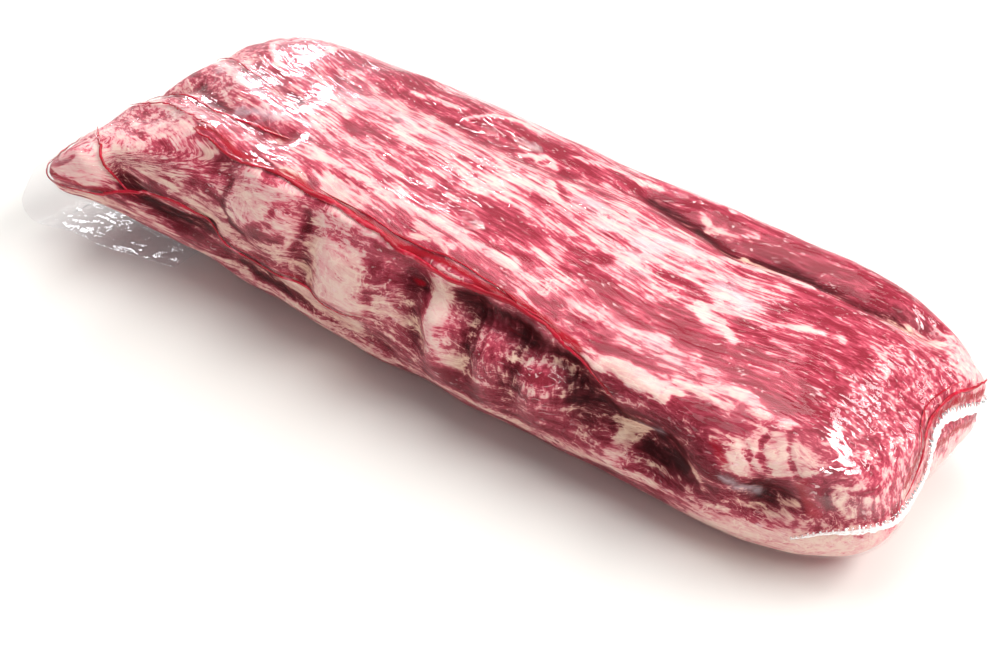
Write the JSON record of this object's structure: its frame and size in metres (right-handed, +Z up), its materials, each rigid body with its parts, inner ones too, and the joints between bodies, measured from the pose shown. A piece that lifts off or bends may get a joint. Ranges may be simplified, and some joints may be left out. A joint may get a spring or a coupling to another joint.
{
  "type": "shrink-bagged raw boneless ribeye roll",
  "caption": "Whole raw boneless ribeye roll in a clear shrink bag, lying flat, with a gathered end seal and a loose film tail.",
  "frame": {"origin": "on the flat underside, midway along the meat", "axes": "+X along the roll towards the end with the seal, +Y to the back side, +Z up"},
  "size_m": [0.517, 0.1921, 0.1014],
  "materials": {
    "packed_beef": "marbled red beef and cream fat under clear glossy film drawn tight on it",
    "gathered_film": "clear film gathered into a narrow white seal, glossy",
    "clear_film": "loose clear crinkled film, glossy"
  },
  "bodies": {
    "root": {"ribeye_roll": "packed_beef", "end_seal": "gathered_film", "bag_tail": "clear_film"}
  },
  "joints": []
}
